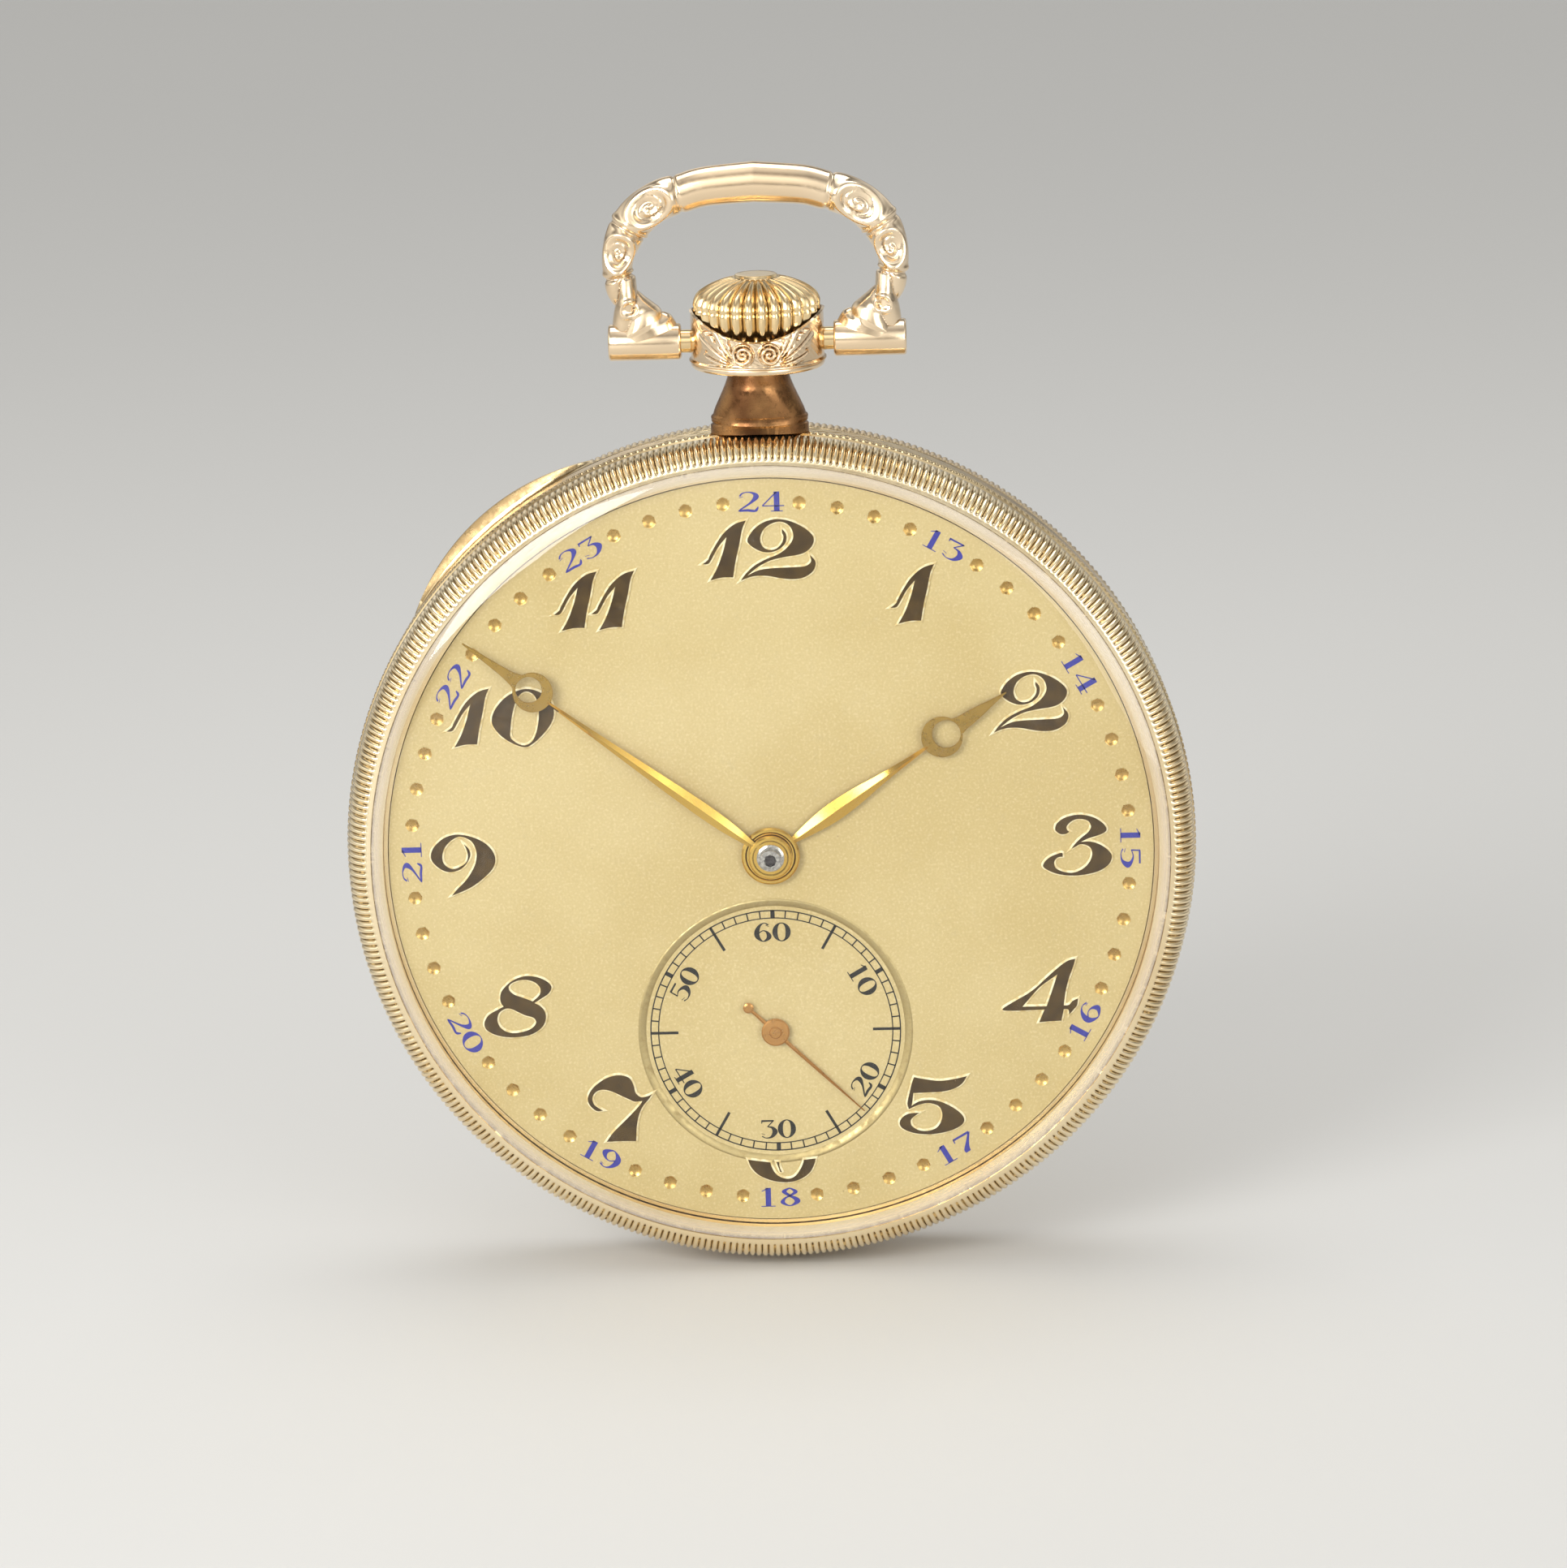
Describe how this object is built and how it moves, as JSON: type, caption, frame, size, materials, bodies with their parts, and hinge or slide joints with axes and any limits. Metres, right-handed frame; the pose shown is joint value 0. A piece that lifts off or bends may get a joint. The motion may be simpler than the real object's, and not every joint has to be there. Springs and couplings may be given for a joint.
{
  "type": "open face pocket watch",
  "caption": "Open-faced pocket watch: round hinged gold case, bow and fluted crown, 24-hour dial ring, small seconds, hand-wound movement.",
  "frame": {"origin": "the middle of the back cover's flat, on the hands' axis", "axes": "+Z towards the pendant at twelve, -Y out of the dial, +X towards three"},
  "size_m": [0.048, 0.009, 0.0631],
  "materials": {
    "yellow_gold": "polished",
    "patinated_gold": "patinated",
    "hand_gold": "polished",
    "dial_gilt": "frosted",
    "glass": "clear",
    "brass": "gilt, satin",
    "nickel": "striped",
    "blued_steel": "blued, polished",
    "polished_steel": "polished"
  },
  "bodies": {
    "case": {"case_middle": "yellow_gold", "hinge_pin": "polished_steel", "pendant_neck": "patinated_gold", "pendant_cup": "yellow_gold", "bow_pin_left": "yellow_gold", "bow_pin_right": "yellow_gold", "main_plate": "brass", "dial": "dial_gilt", "barrel_bridge": "nickel", "train_bridge": "nickel", "balance_cock": "nickel", "pallet_cock": "nickel", "barrel_bridge_screw_1": "blued_steel", "barrel_bridge_screw_2": "blued_steel", "train_bridge_screw": "blued_steel", "balance_cock_screw": "blued_steel", "case_screw_left": "blued_steel", "case_screw_right": "blued_steel", "crown_wheel_screw": "polished_steel", "click_spring": "polished_steel", "hairspring": "blued_steel"},
    "bezel_unit": {"bezel": "yellow_gold", "crystal": "glass"},
    "back_cover": {"back_cover": "yellow_gold"},
    "dust_cover": {"dust_cover": "yellow_gold"},
    "bow": {"bow": "yellow_gold"},
    "winding_pinion": {"winding_pinion": "polished_steel"},
    "crown_and_stem": {"crown": "yellow_gold", "winding_stem": "polished_steel"},
    "clutch": {"clutch": "polished_steel"},
    "setting_lever": {"setting_lever": "polished_steel"},
    "yoke": {"yoke": "polished_steel"},
    "crown_wheel": {"crown_wheel": "polished_steel"},
    "ratchet": {"ratchet_wheel": "polished_steel", "barrel_arbor": "polished_steel", "ratchet_screw": "polished_steel"},
    "click": {"click": "polished_steel"},
    "barrel": {"barrel": "brass", "barrel_cover": "brass", "mainspring": "polished_steel"},
    "centre_minute": {"centre_wheel": "brass", "centre_arbor": "polished_steel", "cannon_pinion": "polished_steel", "minute_hand": "hand_gold"},
    "third": {"third_wheel": "brass", "third_arbor": "polished_steel"},
    "fourth_seconds": {"fourth_wheel": "brass", "fourth_arbor": "polished_steel", "seconds_hand": "hand_gold"},
    "escape": {"escape_wheel": "polished_steel", "escape_arbor": "polished_steel"},
    "pallet_fork": {"pallet_fork": "polished_steel"},
    "balance": {"balance_wheel": "brass", "balance_staff": "polished_steel"},
    "regulator": {"regulator": "polished_steel"},
    "minute_wheel": {"minute_wheel": "brass"},
    "hour": {"hour_wheel": "brass", "hour_hand": "hand_gold"},
    "intermediate_wheel": {"intermediate_wheel": "polished_steel"},
    "setting_wheel": {"setting_wheel": "polished_steel"}
  },
  "joints": [
    {"name": "back_cover_open", "type": "hinge", "parent": "case", "child": "back_cover", "pos_m": [0.01527, -0.00255, -0.01819], "axis": [-0.766, 0, -0.6428], "range_deg": [0, 105]},
    {"name": "dust_cover_open", "type": "hinge", "parent": "case", "child": "dust_cover", "pos_m": [0.01527, -0.00255, -0.01819], "axis": [-0.766, 0, -0.6428], "range_deg": [0, 84.1]},
    {"name": "bow_swing", "type": "hinge", "parent": "case", "child": "bow", "pos_m": [0, -0.0043, 0.02915], "axis": [1, 0, 0], "range_deg": [-130, 130]},
    {"name": "bezel_lift", "type": "slide", "parent": "case", "child": "bezel_unit", "axis": [0, -1, 0], "range_m": [0, 0.012]},
    {"name": "crown_turn", "type": "hinge", "parent": "case", "child": "winding_pinion", "pos_m": [0, -0.0043, 0.0185], "axis": [0, 0, 1], "continuous": true},
    {"name": "crown_pull", "type": "slide", "parent": "winding_pinion", "child": "crown_and_stem", "axis": [0, 0, 1], "range_m": [0, 0.0009]},
    {"name": "clutch_slide", "type": "slide", "parent": "winding_pinion", "child": "clutch", "axis": [0, 0, 1], "range_m": [-0.0008, 0]},
    {"name": "setting_lever_turn", "type": "hinge", "parent": "case", "child": "setting_lever", "pos_m": [0.0036, -0.0043, 0.019], "axis": [0, 1, 0], "range_deg": [0, 14.6]},
    {"name": "yoke_turn", "type": "hinge", "parent": "case", "child": "yoke", "pos_m": [-0.0038, -0.0043, 0.0159], "axis": [0, 1, 0], "range_deg": [0, 12.3]},
    {"name": "crown_wheel_turn", "type": "hinge", "parent": "case", "child": "crown_wheel", "pos_m": [0, -0.0043, 0.0143], "axis": [0, 1, 0], "continuous": true},
    {"name": "ratchet_turn", "type": "hinge", "parent": "case", "child": "ratchet", "pos_m": [0.0055, -0.0043, 0.00655], "axis": [0, 1, 0], "continuous": true},
    {"name": "click_rock", "type": "hinge", "parent": "case", "child": "click", "pos_m": [0.01144, -0.0043, 0.0119], "axis": [0, 1, 0], "range_deg": [0, 8]},
    {"name": "seconds_turn", "type": "hinge", "parent": "case", "child": "fourth_seconds", "pos_m": [0, -0.0043, -0.01045], "axis": [0, 1, 0], "continuous": true},
    {"name": "third_turn", "type": "hinge", "parent": "case", "child": "third", "pos_m": [0.00386, -0.0043, -0.00712], "axis": [0, 1, 0], "continuous": true},
    {"name": "minute_turn", "type": "hinge", "parent": "case", "child": "centre_minute", "pos_m": [0, -0.0043, 0], "axis": [0, 1, 0], "continuous": true},
    {"name": "barrel_turn", "type": "hinge", "parent": "case", "child": "barrel", "pos_m": [0.0055, -0.0043, 0.00655], "axis": [0, 1, 0], "continuous": true},
    {"name": "escape_turn", "type": "hinge", "parent": "case", "child": "escape", "pos_m": [-0.0047, -0.0043, -0.01255], "axis": [0, 1, 0], "continuous": true},
    {"name": "minute_wheel_turn", "type": "hinge", "parent": "case", "child": "minute_wheel", "pos_m": [0, -0.0043, 0.003], "axis": [0, 1, 0], "continuous": true},
    {"name": "hour_turn", "type": "hinge", "parent": "case", "child": "hour", "pos_m": [0, -0.0043, 0], "axis": [0, 1, 0], "continuous": true},
    {"name": "intermediate_wheel_turn", "type": "hinge", "parent": "case", "child": "intermediate_wheel", "pos_m": [0, -0.0043, 0.0075], "axis": [0, 1, 0], "continuous": true},
    {"name": "setting_wheel_turn", "type": "hinge", "parent": "case", "child": "setting_wheel", "pos_m": [0, -0.0043, 0.012], "axis": [0, 1, 0], "continuous": true},
    {"name": "balance_swing", "type": "hinge", "parent": "case", "child": "balance", "pos_m": [-0.0098, -0.0043, -0.0044], "axis": [0, 1, 0], "range_deg": [-270, 270]},
    {"name": "pallet_fork_rock", "type": "hinge", "parent": "case", "child": "pallet_fork", "pos_m": [-0.00682, -0.0043, -0.00916], "axis": [0, 1, 0], "range_deg": [-5, 5]},
    {"name": "regulator_turn", "type": "hinge", "parent": "case", "child": "regulator", "pos_m": [-0.0098, -0.0043, -0.0044], "axis": [0, 1, 0], "range_deg": [-15, 15]}
  ],
  "couplings": [
    {"joint": "dust_cover_open", "follows": "back_cover_open", "ratio": 0.8},
    {"joint": "clutch_slide", "follows": "crown_pull", "ratio": -0.8889},
    {"joint": "setting_lever_turn", "follows": "crown_pull", "rad_per_m": 277.8},
    {"joint": "yoke_turn", "follows": "crown_pull", "rad_per_m": 233.9},
    {"joint": "crown_wheel_turn", "follows": "crown_turn", "ratio": -0.38889},
    {"joint": "ratchet_turn", "follows": "crown_turn", "ratio": 0.23729},
    {"joint": "third_turn", "follows": "seconds_turn", "ratio": -0.13333},
    {"joint": "minute_turn", "follows": "seconds_turn", "ratio": 0.016667},
    {"joint": "barrel_turn", "follows": "seconds_turn", "ratio": -0.0020833},
    {"joint": "escape_turn", "follows": "seconds_turn", "ratio": -10},
    {"joint": "minute_wheel_turn", "follows": "seconds_turn", "ratio": -0.0055556},
    {"joint": "hour_turn", "follows": "seconds_turn", "ratio": 0.0013889},
    {"joint": "intermediate_wheel_turn", "follows": "seconds_turn", "ratio": 0.0055556},
    {"joint": "setting_wheel_turn", "follows": "seconds_turn", "ratio": -0.0055556}
  ]
}
